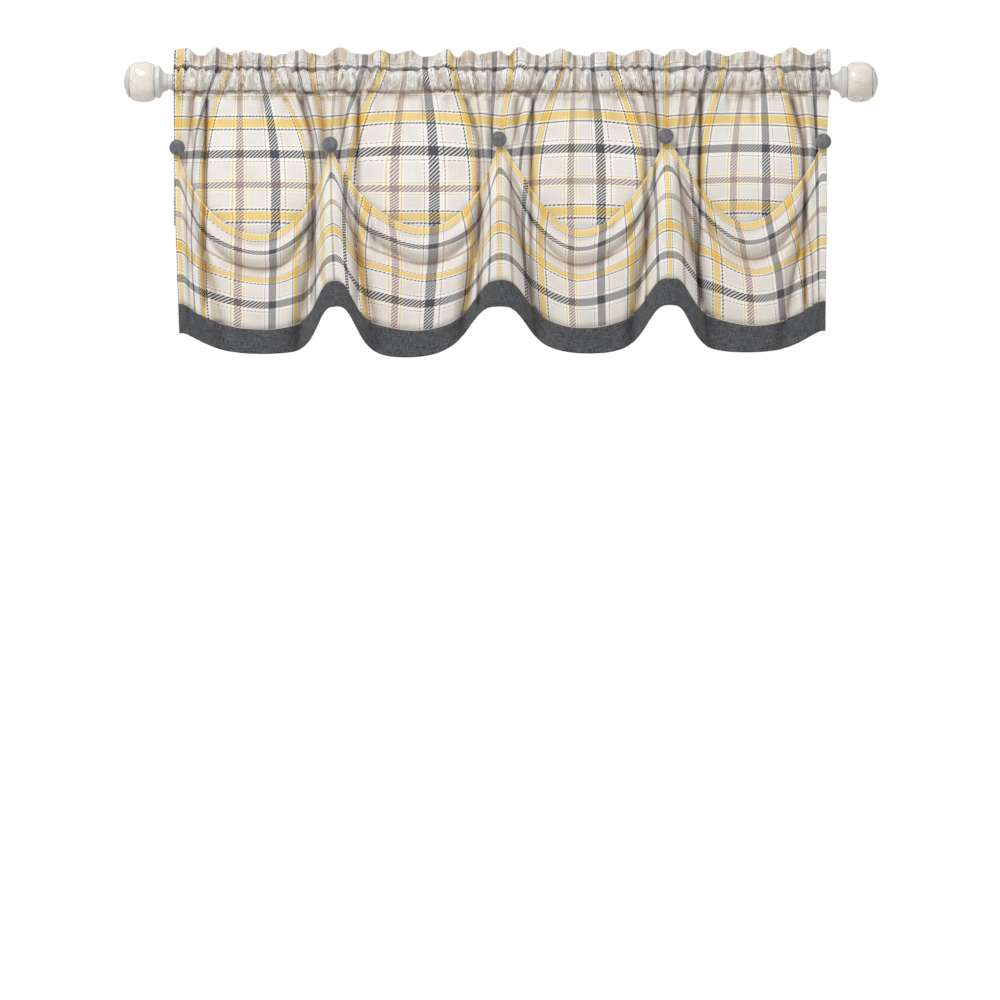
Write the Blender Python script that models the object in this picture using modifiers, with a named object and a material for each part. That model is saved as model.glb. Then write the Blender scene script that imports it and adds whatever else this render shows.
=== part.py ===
"""Tuck-up window valance on its curtain rod.

One gathered cloth hangs from a pocket on the rod. A deep tuck across it is lifted and sewn at five
covered buttons, so that it hangs in four swags, and a contrast band is sewn along its lower edge.
Metres, +Z up, front facing -Y. The origin is on the rod's axis, half way along it.
"""

import math

import bpy
from mathutils import Vector

COLLECTION = "window_valance"

# Rod and finials
ROD_RADIUS = 0.011
ROD_HALF_LENGTH = 0.436
BALL_RADIUS = 0.027
BALL_CENTRE = 0.0395  # from the end of the rod to the middle of the ball
CUP_LIP = 0.0248  # from the end of the rod to the ball's seat in its cup
BALL_END = 0.0580  # from the end of the rod to the flat that the end cap is fixed on
CAP_RADIUS = 0.0192
CAP_RISE = 0.0082
GAP = 0.0003  # kept between neighbouring pieces

# The cloth, and where its rows of sewing lie, measured down its face from the top edge. Places
# across it are counted in repeats of the plaid, from the yellow stripe under the first button
CLOTH_THICKNESS = 0.0012
CLOTH_START = -0.08
CLOTH_END = 11.90
POCKET_STITCH = 0.0683
TURNED_IN = 0.0045  # raw edge of the pocket's back, past the lower stitching
TUCK_EDGE = 0.3525
BAND_SEAM = 0.5626
BAND_DEPTH = 0.0358
SEAM_GAP = 0.0007  # the two sheets bend at the seam, so their edges need a little more room

# Heights and stand-offs from the rod's axis
HEADING_TOP = 0.040
TOP_STITCH_Z = 0.0152
POCKET_STITCH_Z = -0.0130
STITCHED_HALF_GAP = 0.0016  # half way between the two layers where they are sewn together
HEADING_HALF_GAP = 0.0019
POCKET_RADIUS = 0.0138
PANEL_SAG = 0.003
SETTLED_AT = -0.133  # height by which the gathers have shifted to where they hang
TUCK_LAYER = 0.0045  # from one layer of the tuck to the next

# The covered buttons: where each is sewn, where the hem hangs below it, how far the fall of
# cloth between the two stands forward, and its place across the cloth in repeats
BUTTONS = (
    # name, x, z, hem_x, hem_z, stand_off, place
    ("button_1", -0.430, -0.089, -0.4215, -0.336, 0.014, 0.0),
    ("button_2", -0.227, -0.085, -0.2190, -0.302, 0.040, 3.3333),
    ("button_3", -0.003, -0.078, -0.0020, -0.302, 0.042, 6.0),
    ("button_4", 0.219, -0.074, 0.2250, -0.300, 0.040, 9.0),
    ("button_5", 0.428, -0.081, 0.4250, -0.333, 0.014, 11.82),
)
BUTTON_RADIUS = 0.0106
BUTTON_RISE = 0.0062

# The swags between them: the lowest point of the tuck's edge and how fast it falls from each
# button, the lowest hem, and the share of the width that the buttons draw the hem up over. Then
# the share of each swag's width at which four stripes of the plaid hang: on the upper panel,
# along the tuck's edge, and at the hem
SWAGS = (
    # low_z, low_at, left_fall, right_fall, hem_low_z, hem_left, hem_right
    (-0.204, 0.55, 0.70, 0.72, -0.365, 0.200, 0.133),
    (-0.194, 0.56, 0.80, 0.72, -0.373, 0.148, 0.220),
    (-0.198, 0.48, 1.12, 0.85, -0.367, 0.190, 0.166),
    (-0.188, 0.50, 1.10, 0.90, -0.363, 0.147, 0.190),
)
PANEL_SHARES = (
    # yellow, brown, dark, yellow
    (0.155, 0.405, 0.640, 0.868),
    (0.107, 0.379, 0.615, 0.855),
    (0.213, 0.431, 0.611, 0.858),
    (0.230, 0.430, 0.640, 0.833),
)
EDGE_SHARES = (
    # yellow, brown, dark, yellow
    (0.175, 0.402, 0.629, 0.795),
    (0.220, 0.360, 0.618, 0.806),
    (0.268, 0.434, 0.625, 0.772),
    (0.251, 0.446, 0.647, 0.774),
)
HEM_SHARES = (
    # yellow, brown, dark, yellow
    (0.158, 0.355, 0.579, 0.737),
    (0.206, 0.343, 0.552, 0.768),
    (0.282, 0.434, 0.606, 0.765),
    (0.310, 0.537, 0.765, 0.930),
)
STRIPE_STEP = 1 / 3  # from one stripe of the plaid to the next, in repeats
# Where each yellow stripe is gathered along the rod, and the two side edges
HEADING_X = (
    -0.427, -0.362, -0.310, -0.253, -0.155, -0.066, 0.015, 0.085, 0.147, 0.220, 0.296, 0.369,
)
HEADING_ENDS = (-0.436, 0.439)
SIDE_BEYOND_BUTTON = 0.005

# The cloth below the tuck's edge: length of cloth, and the share of the drop it reaches in the
# middle of a swag, where it is folded under, and below a button, where it hangs straight
DROP = (
    # cloth, mid_swag, at_button
    (0.0000, 0.000, 0.000),
    (0.0084, 0.042, 0.038),
    (0.0284, 0.095, 0.110),
    (0.0502, 0.160, 0.190),
    (0.0707, 0.225, 0.275),
    (0.0920, 0.281, 0.360),
    (0.1118, 0.330, 0.445),
    (0.1338, 0.378, 0.530),
    (0.1756, 0.585, 0.705),
    (0.2101, 0.790, 0.840),
    (0.2459, 1.000, 1.000),
)
# How far a swag stands forward, by the distance below the tuck's edge
SWAG_SECTION = (
    # below_edge, stand_off
    (0.000, 0.000),
    (0.006, 0.008),
    (0.014, 0.014),
    (0.026, 0.017),
    (0.037, 0.015),
    (0.046, 0.007),
    (0.056, 0.009),
    (0.075, 0.016),
    (0.110, 0.016),
    (0.180, 0.012),
)
# The fall of cloth that hangs from each button
CONE_TOP_HALF_WIDTH = 0.006
CONE_SPREAD = 0.165
ARCH_ROUNDING = 0.34  # how widely a row of the weave arches over a fall, as a share of a half swag
ARCH_FULL_AT = 0.1338  # cloth below the tuck's edge at which the arch is fully rounded

COLUMNS_PER_REPEAT = 5


def smooth_step(start, end, value):
    share = min(1.0, max(0.0, (value - start) / (end - start)))
    return share * share * (3 - 2 * share)


def mix(first, second, share):
    return first + (second - first) * share


def curve_through(knots, values, at):
    """A smooth curve through the points that never overshoots them."""
    index = 0
    while index < len(knots) - 2 and at > knots[index + 1]:
        index += 1

    def rise(i):
        return (values[i + 1] - values[i]) / (knots[i + 1] - knots[i])

    def slope(i):
        if i == 0:
            return rise(0)
        if i == len(knots) - 1:
            return rise(i - 1)
        before, after = rise(i - 1), rise(i)
        return 0.0 if before * after <= 0 else 2 * before * after / (before + after)

    width = knots[index + 1] - knots[index]
    u = min(1.0, max(0.0, (at - knots[index]) / width))
    return (
        (2 * u**3 - 3 * u**2 + 1) * values[index]
        + (u**3 - 2 * u**2 + u) * width * slope(index)
        + (3 * u**2 - 2 * u**3) * values[index + 1]
        + (u**3 - u**2) * width * slope(index + 1)
    )


def column(table, index):
    return [row[index] for row in table]


def stripe_positions(shares_of_swags, button_column):
    """x of the buttons and of the stripes between them, by their place across the cloth."""
    hung_from = column(BUTTONS, button_column)
    button_places = column(BUTTONS, 6)
    places = [CLOTH_START]
    positions = [hung_from[0] - SIDE_BEYOND_BUTTON]
    for number, stripes in enumerate(shares_of_swags):
        left, right = hung_from[number], hung_from[number + 1]
        places.append(button_places[number])
        positions.append(left)
        first_yellow = math.floor(button_places[number]) + 1
        for stripe, share in enumerate(stripes):
            places.append(first_yellow + stripe * STRIPE_STEP)
            positions.append(mix(left, right, share))
    places += [button_places[-1], CLOTH_END]
    positions += [hung_from[-1], hung_from[-1] + SIDE_BEYOND_BUTTON]
    return places, positions


PANEL = stripe_positions(PANEL_SHARES, button_column=1)
EDGE = stripe_positions(EDGE_SHARES, button_column=1)
HEM = stripe_positions(HEM_SHARES, button_column=3)
HEADING = (
    [CLOTH_START, *range(len(HEADING_X)), CLOTH_END],
    [HEADING_ENDS[0], *HEADING_X, HEADING_ENDS[1]],
)


def across(line, place):
    return curve_through(*line, place)


def fall_x(button, z):
    """x of the line that falls from a button to the hem below it, at height z."""
    _, x, top, hem_x, hem = button[:5]
    return mix(x, hem_x, min(1.0, max(0.0, (top - z) / (top - hem))))


def swag_and_share(x, z=0.0):
    """The swag that x lies in at height z, and how far across it."""
    falls = [fall_x(button, z) for button in BUTTONS]
    number = 0
    while number < len(SWAGS) - 1 and x > falls[number + 1]:
        number += 1
    left, right = falls[number], falls[number + 1]
    return number, min(1.0, max(0.0, (x - left) / (right - left)))


def pull_of_buttons(share, reach):
    """1 below a button and 0 in the middle of a swag, from the left and from the right button."""
    return 1 / (1 + (share / reach) ** 3.3), 1 / (1 + ((1 - share) / reach) ** 3.3)


def edge_z(x, rounded=0.0):
    """Height of the tuck's edge, or of a row below it that passes over the falls in an arch."""
    number, share = swag_and_share(x)
    low_z, low_at, left_fall, right_fall = SWAGS[number][:4]
    from_left = share < low_at
    near = share / low_at if from_left else (1 - share) / (1 - low_at)
    if rounded > 0:
        near *= 1 - math.exp(-((near / rounded) ** 1.3))
    button = BUTTONS[number if from_left else number + 1]
    return mix(button[2], low_z, math.sin(math.pi / 2 * near ** (left_fall if from_left else right_fall)))


def hem_z(x):
    low_enough = -1.0
    number, share = swag_and_share(x, low_enough)
    low, left_reach, right_reach = SWAGS[number][4:]
    left, right = share / left_reach, (1 - share) / right_reach
    left_pull = math.exp(-(left**1.4)) if number == 0 else 1 / (1 + left**4)
    right_pull = math.exp(-(right**1.4)) if number == len(SWAGS) - 1 else 1 / (1 + right**4)
    left_rise, right_rise = BUTTONS[number][4] - low, BUTTONS[number + 1][4] - low
    return low + left_rise * left_pull + right_rise * right_pull


def turn_z(x):
    """Height of the turn at the bottom of the tuck, behind the swags."""
    share = swag_and_share(x)[1]
    return edge_z(x) - mix(0.052, 0.100, max(pull_of_buttons(share, 0.2)))


def ripple(place):
    """The gathers, an uneven wave from -1 to 1 across the cloth."""
    return math.sin(2 * math.pi * (1.5 * place + 0.22 * math.sin(2.1 * place) + 0.1))


def panel_depth(place, x, z):
    """How far the upper panel stands forward of the rod's axis."""
    share = swag_and_share(x)[1]
    below = POCKET_STITCH_Z - z
    gathers = 0.0035 * ripple(place) * (1 - smooth_step(0.02, 0.09, below))
    tube = 0.012 * math.exp(-(((share - 0.145) / 0.045) ** 2))
    tube += 0.009 * math.exp(-(((share - 0.90) / 0.040) ** 2))
    full = smooth_step(0.0, 0.035, below)
    return STITCHED_HALF_GAP + 0.0075 * full + gathers * smooth_step(0, 0.006, below) + tube * full


def front_depth(place, x, z, below_edge):
    """How far the front of the valance stands forward, with a cone of cloth below each button."""
    share = swag_and_share(x, z)[1]
    nearest = min(BUTTONS, key=lambda button: abs(fall_x(button, z) - x))
    below_button = max(0.0, nearest[2] - z)
    half_width = CONE_TOP_HALF_WIDTH + CONE_SPREAD * below_button
    from_middle = abs(x - fall_x(nearest, z)) / half_width
    cone = math.cos(math.pi / 2 * min(1.0, from_middle)) ** 0.8
    cone *= nearest[5] * smooth_step(0.009, 0.10, below_button)
    shrink = mix(1.0, 0.45, max(pull_of_buttons(share, 0.2)))
    swag = curve_through(column(SWAG_SECTION, 0), column(SWAG_SECTION, 1), below_edge / shrink)
    swag *= smooth_step(0.85, 1.0 + 0.026 / half_width, from_middle)
    return panel_depth(place, x, z) + 2 * TUCK_LAYER + math.hypot(cone, swag)


def pocket_point(place, angle, side, ripple_height):
    """A point of the pocket around the rod, at an angle above the level; side is -1 for the front."""
    radius = POCKET_RADIUS + ripple_height * (1 + ripple(place)) / 2
    return side * radius * math.cos(angle), radius * math.sin(angle)


def pocket_and_heading(place):
    """(y, z) up the back of the pocket, over the heading and down its front."""
    wave = ripple(place)
    top = HEADING_TOP + 0.0035 * math.sin(4.3 * place + 1.0)
    rows = [
        (STITCHED_HALF_GAP + 0.0006, POCKET_STITCH_Z - TURNED_IN),
        (STITCHED_HALF_GAP, POCKET_STITCH_Z),
    ]
    for angle in (-50, 0, 50):
        rows.append(pocket_point(place, math.radians(angle), 1, 0.0015))
    stitch_wave, heading_wave = 0.0015 * wave, 0.0075 * wave
    rows.append((STITCHED_HALF_GAP + stitch_wave, TOP_STITCH_Z))
    rows.append((HEADING_HALF_GAP + heading_wave, top - 0.002))
    rows.append((-HEADING_HALF_GAP + heading_wave, top))
    rows.append((-STITCHED_HALF_GAP + stitch_wave, TOP_STITCH_Z))
    for angle in (60, 20, -20, -60):
        rows.append(pocket_point(place, math.radians(angle), -1, 0.003))
    return rows


def panel_rows(place):
    """(x, y, z) of one column of the upper panel, from the pocket's stitching to the tuck's turn."""
    hung_x = across(PANEL, place)
    bottom = turn_z(hung_x)
    rows = []
    for cloth in (POCKET_STITCH, 0.084, 0.104, 0.134, 0.170, 0.205):
        share = swag_and_share(hung_x)[1]
        z = POCKET_STITCH_Z - (cloth - POCKET_STITCH)
        z -= PANEL_SAG * math.sin(math.pi * share) * smooth_step(0.07, 0.14, cloth)
        z = max(z, mix(POCKET_STITCH_Z, bottom, 0.92))
        not_yet_hung = max(0.0, (z - SETTLED_AT) / (TOP_STITCH_Z - SETTLED_AT))
        x = mix(hung_x, across(HEADING, place), not_yet_hung**1.8)
        rows.append((x, -panel_depth(place, x, z), z))
    rows.append((hung_x, -panel_depth(place, hung_x, bottom), bottom + 0.004))
    rows.append((hung_x, -panel_depth(place, hung_x, bottom) - TUCK_LAYER / 2, bottom))
    return rows


def riser_rows(place):
    """The back of the tuck, from its turn up to its edge."""
    turn_x, edge_x = across(PANEL, place), across(EDGE, place)
    rows = []
    for share in (0.05, 0.5, 0.96):
        x = mix(turn_x, edge_x, share)
        z = mix(turn_z(x), edge_z(x), share)
        rows.append((x, -panel_depth(place, x, z) - TUCK_LAYER, z))
    z = edge_z(edge_x)
    rows.append((edge_x, -panel_depth(place, edge_x, z) - 1.5 * TUCK_LAYER, z))
    return rows


def front_point(place, cloth):
    """A point of the valance's front, by the length of cloth below the tuck's edge."""
    lengths = column(DROP, 0)
    edge_x, hem_x = across(EDGE, place), across(HEM, place)
    share = swag_and_share(edge_x)[1]
    mid = curve_through(lengths, column(DROP, 1), cloth)
    straight = curve_through(lengths, column(DROP, 2), cloth)
    fallen = mix(mid, straight, max(pull_of_buttons(share, 0.22)))
    x = mix(edge_x, hem_x, smooth_step(0.0, 1.0, fallen))
    arch = edge_z(edge_x, ARCH_ROUNDING * smooth_step(0.0, ARCH_FULL_AT, cloth))
    z = mix(arch, hem_z(hem_x), fallen)
    return x, -front_depth(place, x, z, edge_z(edge_x) - z), z


def cloth_column(place):
    """Every point of one column of the cloth, from the pocket's raw edge to the band's seam."""
    heading_x = across(HEADING, place)
    points = [(heading_x, y, z) for y, z in pocket_and_heading(place)]
    points += panel_rows(place)
    points += riser_rows(place)
    front_rows = (0.006, 0.022, 0.040, 0.060, 0.080, 0.100, 0.120, 0.148, 0.188)
    points += [front_point(place, cloth) for cloth in front_rows]
    points.append(front_point(place, BAND_SEAM - TUCK_EDGE))
    return points


def band_column(place):
    start = BAND_SEAM - TUCK_EDGE + SEAM_GAP
    return [front_point(place, start + BAND_DEPTH * share) for share in (0.0, 0.5, 1.0)]


def column_places():
    count = math.floor(CLOTH_END * COLUMNS_PER_REPEAT)
    places = [number / COLUMNS_PER_REPEAT for number in range(count + 1)]
    return [CLOTH_START, *places, CLOTH_END]


def material(name, colour, roughness, metallic=0.0):
    made = bpy.data.materials.new(name)
    made.use_nodes = True
    shader = made.node_tree.nodes["Principled BSDF"]
    shader.inputs["Base Color"].default_value = (*colour, 1.0)
    shader.inputs["Roughness"].default_value = roughness
    shader.inputs["Metallic"].default_value = metallic
    return made


def add_object(name, mesh, finish):
    made = bpy.data.objects.new(name, mesh)
    bpy.data.collections[COLLECTION].objects.link(made)
    mesh.materials.append(finish)
    return made


def woven_sheet(name, columns, finish):
    """A sheet of cloth over a grid of points, given its thickness by a Solidify modifier."""
    rows = len(columns[0])
    points = [point for line in columns for point in line]
    faces = []
    for number in range(len(columns) - 1):
        for row in range(rows - 1):
            corner = number * rows + row
            faces.append((corner, corner + 1, corner + 1 + rows, corner + rows))
    mesh = bpy.data.meshes.new(name)
    mesh.from_pydata(points, [], faces)
    mesh.shade_smooth()
    sheet = add_object(name, mesh, finish)
    thickness = sheet.modifiers.new("cloth thickness", "SOLIDIFY")
    thickness.thickness = CLOTH_THICKNESS
    thickness.offset = 0.0
    return sheet


def turned(name, profile, steps, finish):
    """A turned piece about its own Z axis, from (radius, height) points, top to bottom."""
    mesh = bpy.data.meshes.new(name)
    points = [(radius, 0.0, height) for radius, height in profile]
    mesh.from_pydata(points, [(i, i + 1) for i in range(len(points) - 1)], [])
    piece = add_object(name, mesh, finish)
    screw = piece.modifiers.new("turning", "SCREW")
    screw.steps = steps
    screw.render_steps = steps
    screw.use_merge_vertices = True
    screw.merge_threshold = 0.00001
    screw.use_smooth_shade = True
    return piece


def arc(centre, radius, start, end, count):
    """Points of an arc in the (radius, height) plane, angles in degrees above the level."""
    angles = [math.radians(mix(start, end, i / (count - 1))) for i in range(count)]
    return [(centre[0] + radius * math.cos(a), centre[1] + radius * math.sin(a)) for a in angles]


def build_rod(finish):
    bpy.ops.mesh.primitive_cylinder_add(
        vertices=32, radius=ROD_RADIUS, depth=2 * ROD_HALF_LENGTH, rotation=(0, math.pi / 2, 0)
    )
    rod = bpy.context.object
    rod.name = rod.data.name = "rod"
    for other in list(rod.users_collection):
        other.objects.unlink(rod)
    bpy.data.collections[COLLECTION].objects.link(rod)
    rod.data.materials.append(finish)
    rod.data.shade_smooth()
    rod.data.set_sharp_from_angle(angle=math.radians(40))


def build_finial(side, direction, cup_finish, ball_finish):
    """A turned neck and cup on the rod's end, the ball that sits in the cup, and the ball's end cap."""
    neck = 0.0098
    cup_profile = [
        (0.0, CUP_LIP),
        (0.0212, CUP_LIP),
        (0.0216, CUP_LIP - 0.0008),
        (0.0206, 0.0185),
        (0.0150, 0.0155),
        (0.0124, 0.0125),
        (0.0118, 0.0090),
        (neck, 0.0080),
        (neck, 0.0045),
        (0.0106, 0.0030),
        (0.0108, GAP),
        (0.0, GAP),
    ]
    seat = CUP_LIP + GAP
    seat_angle = math.degrees(math.asin((seat - BALL_CENTRE) / BALL_RADIUS))
    end_angle = math.degrees(math.asin((BALL_END - BALL_CENTRE) / BALL_RADIUS))
    ball_profile = arc((0.0, BALL_CENTRE), BALL_RADIUS, end_angle, seat_angle, 9)
    ball_profile = [(0.0, BALL_END), *ball_profile, (0.0, seat)]
    cap_start = BALL_END + GAP
    cap_end = cap_start + CAP_RISE
    cap_curve = (CAP_RADIUS**2 + CAP_RISE**2) / (2 * CAP_RISE)
    cap_edge = math.degrees(math.acos(CAP_RADIUS / cap_curve))
    cap_profile = arc((0.0, cap_end - cap_curve), cap_curve, 90, cap_edge, 5)
    cap_profile[0] = (0.0, cap_end)
    cap_profile.append((0.0, cap_start))
    for name, profile, finish in (
        (f"finial_cup_{side}", cup_profile, cup_finish),
        (f"finial_ball_{side}", ball_profile, ball_finish),
        (f"finial_cap_{side}", cap_profile, cup_finish),
    ):
        piece = turned(name, profile, 24, finish)
        piece.location = (direction * ROD_HALF_LENGTH, 0, 0)
        piece.rotation_euler = (0, direction * math.pi / 2, 0)


def build_button(name, x, z, finish):
    """A cloth-covered button: a flat back, a rolled edge and a low dome, facing forward."""
    edge = 0.0022
    dome_radius = (BUTTON_RADIUS**2 + BUTTON_RISE**2) / (2 * BUTTON_RISE)
    dome_start = math.degrees(math.acos(BUTTON_RADIUS / dome_radius))
    dome = arc((0.0, edge + BUTTON_RISE - dome_radius), dome_radius, 90, dome_start, 5)
    dome[0] = (0.0, edge + BUTTON_RISE)
    profile = [*dome, (BUTTON_RADIUS, edge * 0.6), (BUTTON_RADIUS - 0.0016, 0.0), (0.0, 0.0)]
    button = turned(name, profile, 16, finish)
    reach = BUTTON_RADIUS * 0.9
    stand_off = max(
        front_depth(0.0, x + reach * aside, z - reach * down, reach * down)
        for aside in (-1, -0.5, 0, 0.5, 1)
        for down in (0, 0.5, 1)
    )
    button.location = (x, -stand_off - CLOTH_THICKNESS / 2 - GAP, z)
    button.rotation_euler = Vector((0, -1, 0)).to_track_quat("Z", "Y").to_euler()


def main():
    for old in list(bpy.data.objects):
        bpy.data.objects.remove(old, do_unlink=True)
    collection = bpy.data.collections.new(COLLECTION)
    bpy.context.scene.collection.children.link(collection)

    plaid = material("plaid_cloth", (0.82, 0.77, 0.68), 0.9)
    slate = material("band_cloth", (0.075, 0.082, 0.09), 0.9)
    covered = material("button_cloth", (0.08, 0.083, 0.095), 0.85)
    paint = material("rod_paint", (0.68, 0.69, 0.67), 0.35)
    glaze = material("finial_ball", (0.76, 0.69, 0.58), 0.2)

    places = column_places()
    woven_sheet("valance_cloth", [cloth_column(place) for place in places], plaid)
    woven_sheet("hem_band", [band_column(place) for place in places], slate)
    for name, x, z, *_ in BUTTONS:
        build_button(name, x, z, covered)
    build_rod(paint)
    for side, direction in (("left", -1), ("right", 1)):
        build_finial(side, direction, paint, glaze)


main()
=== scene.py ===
import bpy
import numpy as np
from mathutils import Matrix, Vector


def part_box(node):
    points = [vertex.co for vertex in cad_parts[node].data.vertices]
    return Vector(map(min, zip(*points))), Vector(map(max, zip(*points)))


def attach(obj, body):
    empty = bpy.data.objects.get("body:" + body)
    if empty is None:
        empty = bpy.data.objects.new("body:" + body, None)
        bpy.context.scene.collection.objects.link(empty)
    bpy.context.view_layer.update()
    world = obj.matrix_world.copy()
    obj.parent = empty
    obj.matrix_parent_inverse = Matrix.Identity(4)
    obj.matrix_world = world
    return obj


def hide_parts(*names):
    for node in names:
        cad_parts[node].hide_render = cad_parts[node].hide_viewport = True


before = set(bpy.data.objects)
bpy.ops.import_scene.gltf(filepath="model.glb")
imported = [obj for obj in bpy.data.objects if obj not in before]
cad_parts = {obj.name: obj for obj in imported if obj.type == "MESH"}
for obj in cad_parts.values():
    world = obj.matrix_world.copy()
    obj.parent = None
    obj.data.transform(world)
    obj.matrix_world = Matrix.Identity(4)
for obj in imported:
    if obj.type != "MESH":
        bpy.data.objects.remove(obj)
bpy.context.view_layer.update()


# ---------------------------------------------------------------------------------------------
# The camera stands level in front of the window, far back, so that the valance shows square on.
camera_data = bpy.data.cameras.new("camera")
camera_data.lens = 162.6
camera_data.sensor_width = 36.0
camera_data.clip_end = 50.0
camera = bpy.data.objects.new("camera", camera_data)
camera.location = (-0.0013, -6.02, -0.557)
camera.rotation_euler = (np.pi / 2, 0, 0)
bpy.context.scene.collection.objects.link(camera)
bpy.context.scene.camera = camera


# ---------------------------------------------------------------------------------------------
# The valance cloth: one length of yarn-dyed plaid cotton, with three main stripes to a repeat both
# ways. Its top is turned over and stitched twice, which makes a ruffled heading and a pocket on the
# rod. Lower down a deep tuck is lifted and caught behind each button, so it hangs in four swags.
REPEAT = 0.1254  # one repeat of the plaid, both ways
CLOTH_START, CLOTH_END = -0.08, 11.90  # the side edges, in repeats from the first button
CLOTH_THICKNESS = 0.0009
TOP_STITCH, POCKET_STITCH = 0.0265, 0.0683  # rows of sewing, down the cloth from its top edge
TURNED_IN = 0.0045
TUCK_EDGE, BAND_SEAM = 0.3525, 0.5626  # down the cloth too
BAND_DEPTH = 0.0358
COLUMNS = 420  # points across the sheet

HEADING_TOP, TOP_STITCH_Z, POCKET_STITCH_Z = 0.0388, 0.0152, -0.0130
STITCHED_HALF_GAP, POCKET_RADIUS = 0.0016, 0.0120
SEAM_FORWARD = 0.0040  # how far the lower row of stitching stands forward of the rod's axis
SETTLING_FROM, SETTLED_AT = 0.0155, -0.133  # heights between which the gathers shift sideways
TUCK_LAYER = 0.0045  # from each layer of the tuck to the next
BEYOND_BUTTONS = 0.005  # how far the side edges hang outside the outer buttons

# Each button, the hem below it, how far the fall between them stands forward, and the button's place
# across the cloth, in repeats
BUTTON_X, BUTTON_Z, HEM_X, HEM_Z, STAND_OFF, BUTTON_PLACE = np.transpose((
    (-0.430, -0.089, -0.4215, -0.336, 0.014, 0.0),
    (-0.227, -0.085, -0.2190, -0.302, 0.040, 3.3333),
    (-0.003, -0.078, -0.0020, -0.302, 0.042, 6.0),
    (0.219, -0.074, 0.2250, -0.300, 0.040, 9.0),
    (0.428, -0.081, 0.4250, -0.333, 0.014, 11.82),
))
# Each swag: how low its edge hangs and at what share of its width, and how slowly the edge falls to
# that from the left and the right; how low its hem hangs, and over what share of its width the
# buttons on both sides pull that up; how far its folds stray sideways, in shares too
LOW_Z, LOW_AT, LEFT_FALL, RIGHT_FALL, HEM_LOW_Z, HEM_LEFT, HEM_RIGHT, FOLD_SHIFT = np.transpose((
    (-0.204, 0.55, 0.70, 0.72, -0.365, 0.200, 0.133, -0.019),
    (-0.194, 0.56, 0.80, 0.72, -0.373, 0.148, 0.220, -0.036),
    (-0.198, 0.48, 1.12, 0.85, -0.367, 0.190, 0.166, 0.000),
    (-0.188, 0.50, 1.10, 0.90, -0.363, 0.147, 0.190, 0.022),
))
# The height at which the yellow, dark, brown and next yellow rows of each panel hang in mid swag
PANEL_ROWS = (
    (-0.0557, -0.0968, -0.1379, -0.1790), (-0.0470, -0.0920, -0.1435, -0.1803),
    (-0.0445, -0.0890, -0.1330, -0.1724), (-0.0504, -0.0886, -0.1313, -0.1658),
)
YELLOW_AT = 0.1101  # down the cloth to the first yellow row
TURN_Z, TURN_CLOTH = -0.240, TUCK_EDGE - 0.06  # where the panel turns under in mid swag
# The share of each swag's width at which the yellow, brown, dark and yellow stripes hang, in the
# panel, at the tuck's edge, half way down the front and at the hem
PANEL_SHARES = (
    (0.155, 0.405, 0.640, 0.868), (0.107, 0.379, 0.615, 0.855),
    (0.213, 0.431, 0.611, 0.858), (0.230, 0.430, 0.640, 0.833),
)
EDGE_SHARES = (
    (0.175, 0.402, 0.629, 0.795), (0.220, 0.360, 0.618, 0.806),
    (0.268, 0.434, 0.625, 0.772), (0.251, 0.446, 0.647, 0.774),
)
FRONT_SHARES = (
    (0.132, 0.379, 0.607, 0.761), (0.167, 0.376, 0.590, 0.838),
    (0.244, 0.425, 0.599, 0.787), (0.308, 0.514, 0.706, 0.859),
)
HEM_SHARES = (
    (0.158, 0.355, 0.579, 0.737), (0.206, 0.343, 0.552, 0.768),
    (0.282, 0.434, 0.606, 0.765), (0.310, 0.537, 0.765, 0.930),
)
# Where every stripe is gathered along the rod, from the first yellow one
HEADING_X = (
    -0.427, -0.400, -0.378, -0.362, -0.347, -0.321, -0.310, -0.289, -0.272, -0.253, -0.219, -0.182,
    -0.155, -0.126, -0.102, -0.066, -0.038, -0.0085, 0.0146, 0.047, 0.061, 0.085, 0.098, 0.122,
    0.147, 0.182, 0.2015, 0.220, 0.2466, 0.276, 0.2965, 0.326, 0.3474, 0.3686, 0.3904, 0.415,
)
# Where the ruffles of the heading stand tallest
RUFFLES = (
    -0.4200, -0.3806, -0.3434, -0.2705, -0.2148, -0.1578, -0.1273, -0.0729, -0.0451, -0.0080,
    0.0225, 0.0796, 0.1353, 0.1870, 0.2374, 0.2732, 0.3262, 0.3885, 0.4280,
)
HEADING_ENDS = (-0.436, 0.439)
DROP = np.array((
    # cloth below the tuck's edge, share of the drop in mid swag, share of it below a button
    (0.0000, 0.000, 0.000), (0.0084, 0.042, 0.038), (0.0284, 0.095, 0.110), (0.0502, 0.160, 0.190),
    (0.0707, 0.225, 0.275), (0.0920, 0.281, 0.360), (0.1118, 0.330, 0.445), (0.1338, 0.378, 0.530),
    (0.1756, 0.585, 0.705), (0.2101, 0.790, 0.840), (0.2459, 1.000, 1.000),
))
SWAG_SECTION = np.array((
    # below the tuck's edge, how far the swag stands forward
    (0.000, 0.0000), (0.0015, 0.0075), (0.005, 0.0110), (0.011, 0.0135), (0.015, 0.0125),
    (0.022, 0.0170), (0.033, 0.0190), (0.042, 0.0140), (0.0475, 0.0050), (0.053, 0.0050),
    (0.064, 0.0110), (0.080, 0.0170), (0.110, 0.0170), (0.180, 0.0120),
))
CONE_TOP_HALF_WIDTH, CONE_SPREAD = 0.006, 0.165  # of the fall of cloth below each button
PULL_POWER = 3.3  # how suddenly the pull of a button begins
MID_FRONT = 0.1338  # cloth from the tuck's edge to the row half way down the front
ARCH_ROUNDING = 0.34  # how far that row's arches are rounded off over the falls
DEEP_HOLLOW = 0.0045  # how far back a crease lies that gets the full painted shade
SWAG_SHADE = 0.34  # how much of the full painted shade the middle of each swag gets


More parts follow.
